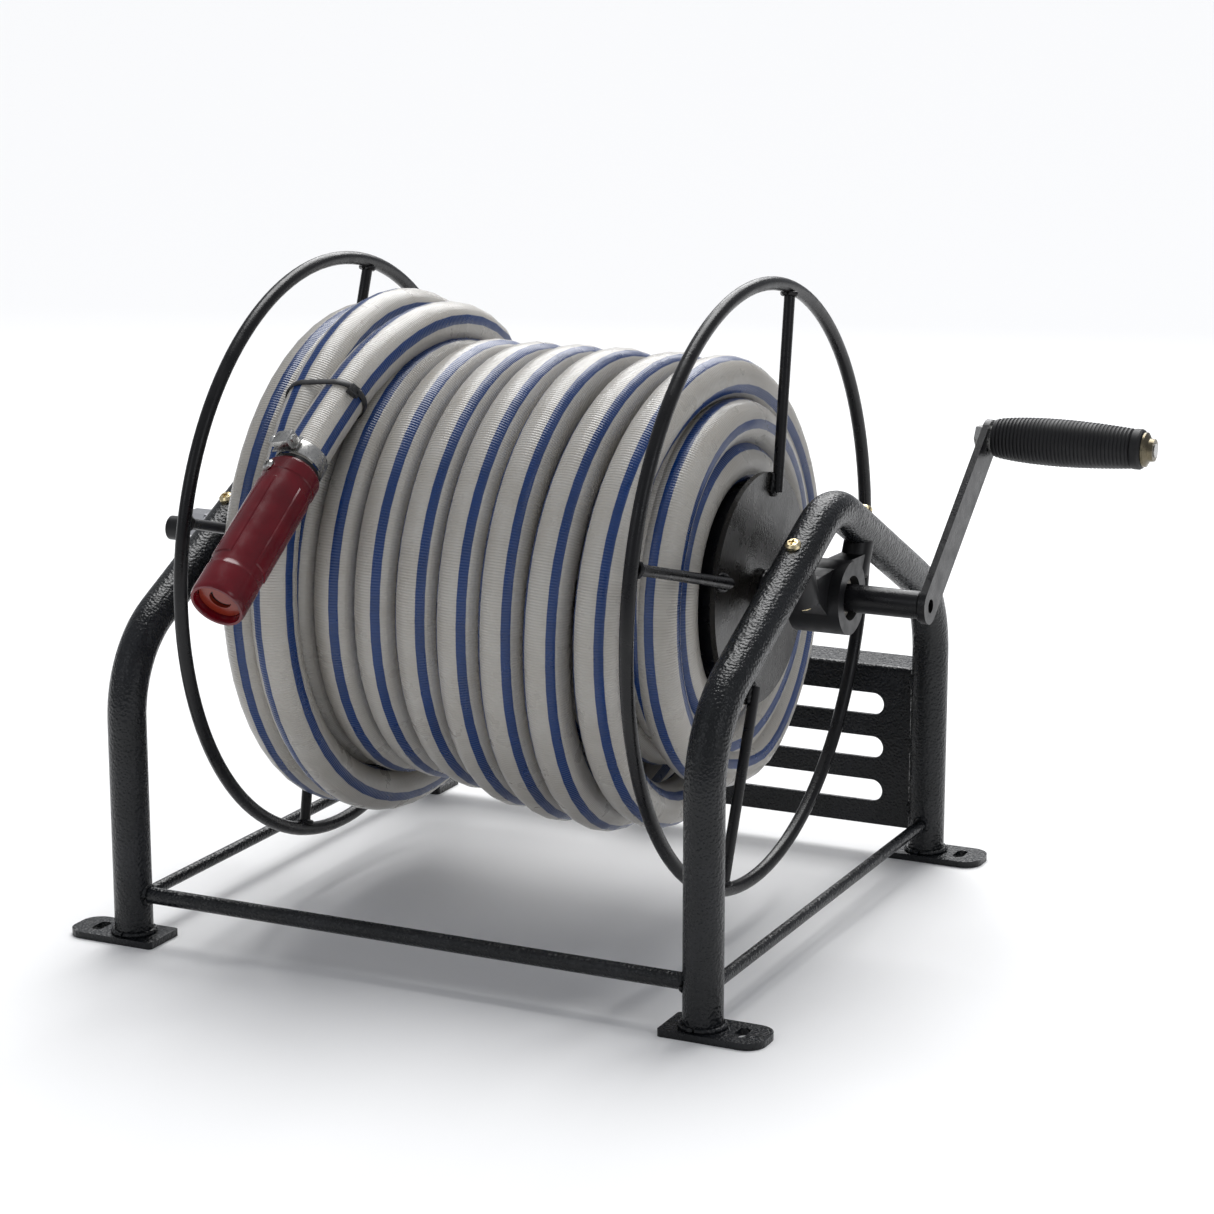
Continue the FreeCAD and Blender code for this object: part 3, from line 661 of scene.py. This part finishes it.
def make_nozzle_sleeve(red):
    """The twist sleeve, with a stepped collar, a raised panel and a ring at its mouth."""
    stations = (4.3, 4.9, 6.5, 8, 12, 16.2, 17.2, 18.2, 19.2, 21, 24.5, 25.5, 40, 60, 80, 96.5,
                97.5, 103, 105.6, 106.6, 107.8, 108.8, 114, 120, 127, 129.4, 130.6,
                SLEEVE_LENGTH)

    def outer(height, degrees):
        radius = 19.45
        if height < 17:
            radius = 20.0
        if 106.2 < height:
            radius = 19.95
        radius -= 1.3 * max(0, 1 - (height - 4.3) / 2.2) if height < 6.5 else 0
        radius -= 0.9 * max(0, (height - 129) / 2.0) if height > 129 else 0
        for middle in SLEEVE_PANELS:
            if 24.8 < height < 97 and abs((degrees - middle + 180) % 360 - 180) < 31:
                radius += 0.8
        return radius

    inner = ((17.2, SLEEVE_LENGTH), (16.5, 129.5), (16.2, 126), (16.2, 119), (13.6, 119),
             (13.6, 4.3))
    form = bmesh.new()
    rings = [circle(form, SLEEVE_SIDES, height, lambda degrees: outer(height, degrees))
             for height in stations]
    rings += [circle(form, SLEEVE_SIDES, height, lambda degrees: radius)
              for radius, height in inner]
    mesh = skinned("sleeve", form, rings)
    sleeve = new_piece("nozzle_twist_sleeve", on_nozzle(mesh), red, "nozzle_twist",
                       28)
    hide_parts("nozzle_sleeve")
    return sleeve


# ---- grip ----------------------------------------------------------------------------------

GRIP_START = 304.2    # mm along the axle
GRIP_END = 415.8
GRIP_RIBS = 36
CRANK_REACH = 0.160


def make_grip(rubber):
    """A barrel grip with fine ribs all along and a smooth collar at its outer end."""
    length = GRIP_END - GRIP_START
    profile = [(5.1, 0), (11.6, 0), (13.4, 0.8)]
    rib_length = (length - 10) / GRIP_RIBS
    for rib in range(GRIP_RIBS):
        base = 1.6 + rib * rib_length
        share = (base - 1.6) / (length - 10)
        body = 13.7 + 3.5 * math.sin(math.pi * min(1, share ** 0.82 * 0.93 + 0.03)) ** 0.85
        for offset, rise in ((0.12, -0.55), (0.35, 0), (0.72, 0), (0.92, -0.55)):
            profile.append((body + rise, base + offset * rib_length))
    profile += [(13.3, length - 8), (14.4, length - 7.2), (14.6, length - 6), (14.6, length - 2),
                (13.9, length - 0.7), (12.6, length), (5.1, length)]
    mesh = turned("grip_barrel", profile, 72)
    crank_x = CRANK_REACH * math.cos(CRANK_ANGLE)
    crank_z = AXLE_Z + CRANK_REACH * math.sin(CRANK_ANGLE)
    mesh.transform(placement(Vector((crank_x, GRIP_START * MM, crank_z)), Vector((0, 1, 0)),
                             Vector((1, 0, 0))))
    piece = new_piece("grip_barrel", mesh, rubber, "grip", 25)
    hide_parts("grip")


# ---- welds ---------------------------------------------------------------------------------

def ripple(points, radius, closed, seed):
    """Radii for a weld bead that swells and narrows along its length."""
    radii = []
    for index, point in enumerate(points):
        swell = 0.16 * math.sin(index * 1.9 + seed)
        swell += 0.22 * noise.noise(point * 230 + Vector((seed, 0, 0)))
        end = 1.0 if closed else min(1.0, 0.35 + 0.35 * min(index, len(points) - 1 - index))
        radii.append(radius * (1 + swell) * end)
    return radii


def bead(points, radius, closed=False, seed=0.0, hint=Vector((0, 1, 0))):
    return sweep("bead", points, ripple(points, radius, closed, seed), 10, closed, 1.0, hint)


def ring_points(centre, axis, radius, count, start=0.0, span=360.0, hint=Vector((0.3, 0.2, 1))):
    _, across, side = frame_from(axis, hint)
    closed = span >= 360
    steps = count if closed else count - 1
    turns = [math.radians(start + span * i / steps) for i in range(count)]
    return [centre + across * (radius * math.cos(t)) + side * (radius * math.sin(t))
            for t in turns]


def make_drum_welds(coat):
    beads = []
    for name, side in SIDES.items():
        face = DRUM_Y + side * 0.178
        for number, degrees in enumerate(SPOKE_ANGLES):
            seed = number * 1.3 + side
            radial = (around_axle(1, degrees, 0) - around_axle(0, degrees, 0)).normalized()
            across = radial.cross(Vector((0, 1, 0)))
            # Round the inner end of the rod, where it meets the disc.
            inner = []
            for share, offset in ((0.0831, 4.4), (0.0795, 4.7), (0.0755, 4.7), (0.0715, 4.5),
                                  (0.0692, 2.6), (0.0685, 0), (0.0692, -2.6), (0.0715, -4.5),
                                  (0.0755, -4.7), (0.0795, -4.7), (0.0831, -4.4)):
                inner.append(around_axle(0, 0, face + side * 0.0008) + radial * share
                             + across * offset * MM)
            smooth = [inner[0]]
            for first, second in zip(inner, inner[1:]):
                smooth += [first.lerp(second, t) for t in (0.34, 0.67, 1.0)]
            beads.append(bead(smooth, 0.0021, False, seed, Vector((0, 1, 0))))
            # A fillet round the rod where it meets the rim.
            seat = around_axle(0.2128, degrees, DRUM_Y + side * 0.174)
            beads.append(bead(ring_points(seat, radial, 0.0047, 24, hint=Vector((0, 1, 0))),
                              0.0019, True, seed))
        hub = ring_points(Vector((0, face + side * 0.0036, AXLE_Z)), Vector((0, 1, 0)), 0.0122, 44)
        beads.append(bead(hub, 0.0026, True, side * 2.0))
    arm = ring_points(Vector((0, 0.2972, AXLE_Z)), Vector((0, 1, 0)), 0.0108, 36)
    beads.append(bead(arm, 0.0016, True, 4.0))
    new_piece("drum_welds", joined("drum_welds", beads), coat, "drum", 60)


def make_frame_welds(coat):
    beads = []
    for side in SIDES.values():
        for front in (1, -1):
            leg = Vector((front * 0.217, side * 0.226, 0.0062))
            beads.append(bead(ring_points(leg, Vector((0, 0, 1)), 0.0147, 60), 0.0021, True,
                              front + side * 2.0))
            bar = Vector((front * 0.2036, side * 0.226, 0.0286))
            beads.append(bead(ring_points(bar, Vector((1, 0, 0)), 0.0051, 22), 0.0017, True,
                              side + 3.0))
        cross = Vector((0.217, side * 0.2126, 0.0345))
        beads.append(bead(ring_points(cross, Vector((0, 1, 0)), 0.0066, 26), 0.0018, True,
                          side + 5.0, Vector((0, 0, 1))))
        for height in (32, 84, 136):
            path = [Vector((-0.2158, side * 0.2118, (height + step) * MM))
                    for step in (-1.5, 0, 1.5, 3, 4.5, 6, 7.5, 9, 10.5)]
            beads.append(bead(path, 0.0022, False, height * 0.1))
    new_piece("frame_welds", joined("frame_welds", beads), coat, "frame", 60)


# ---- materials on the CAD's own nodes --------------------------------------------------------

def dress_cad(materials):
    chosen = {
        "hammered": ("side_frame_", "foot_", "base_bar_", "front_crossbar", "rear_plate"),
        "fine": ("rim_", "spokes_", "stop_collar_", "crank_arm", "drum_barrel", "axle"),
        "disc": ("hub_disc_",),
        "moulded": ("bearing_hanger_", "inlet_spigot", "nozzle_body"),
        "acetal": ("bearing_bush_",),
        "yellow": ("hanger_screws", "hanger_nuts"),
        "steel": ("grub_screws", "feed_elbow", "inner_hose_clamp", "grip_spindle", "grip_washer",
                  "nozzle_screw"),
        "dark": ("grip_nut",),
        "chrome": ("union_nut", "swivel_housing"),
        "brass": ("hose_barb",),
        "rubber": ("nozzle_seals", "swivel_seal"),
        "tip": ("nozzle_tip",),
    }
    for node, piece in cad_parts.items():
        for key, prefixes in chosen.items():
            if node.startswith(prefixes):
                piece.data.materials.clear()
                piece.data.materials.append(materials[key])


def main():
    make_camera()
    materials = {
        "hammered": hammered_coat(), "fine": fine_coat(), "disc": disc_coat(),
        "moulded": moulded_black(), "acetal": pale_acetal(), "hose": hose_material(),
        "yellow": plated("yellow_zinc", (0.78, 0.68, 0.42), (0.62, 0.5, 0.3), 0.24),
        "steel": plated("bright_steel", (0.5, 0.5, 0.49), (0.38, 0.375, 0.36), 0.28),
        "chrome": plated("chrome_plate", (0.85, 0.85, 0.86), (0.75, 0.75, 0.77), 0.09),
        "brass": plated("turned_brass", (0.72, 0.55, 0.27), (0.6, 0.44, 0.2), 0.24),
        "dark": plated("dark_plate", (0.2, 0.17, 0.11), (0.09, 0.08, 0.06), 0.3),
        "rubber": grip_rubber(), "tie": tie_nylon(),
        "red": gloss_red("crimson_plastic", (0.12, 0.0015, 0.007), (0.08, 0.001, 0.005)),
        "tip": gloss_red("orange_red_plastic", (0.2, 0.022, 0.01), (0.13, 0.012, 0.007)),
    }
    hose, line = make_hose(materials["hose"])
    clamp = make_hose_clamp(materials["steel"])
    tie = make_cable_tie(line, materials["tie"])
    sleeve = make_nozzle_sleeve(materials["red"])
    make_grip(materials["rubber"])
    make_drum_welds(materials["fine"])
    make_frame_welds(materials["hammered"])
    dress_cad(materials)
    make_studio()


main()
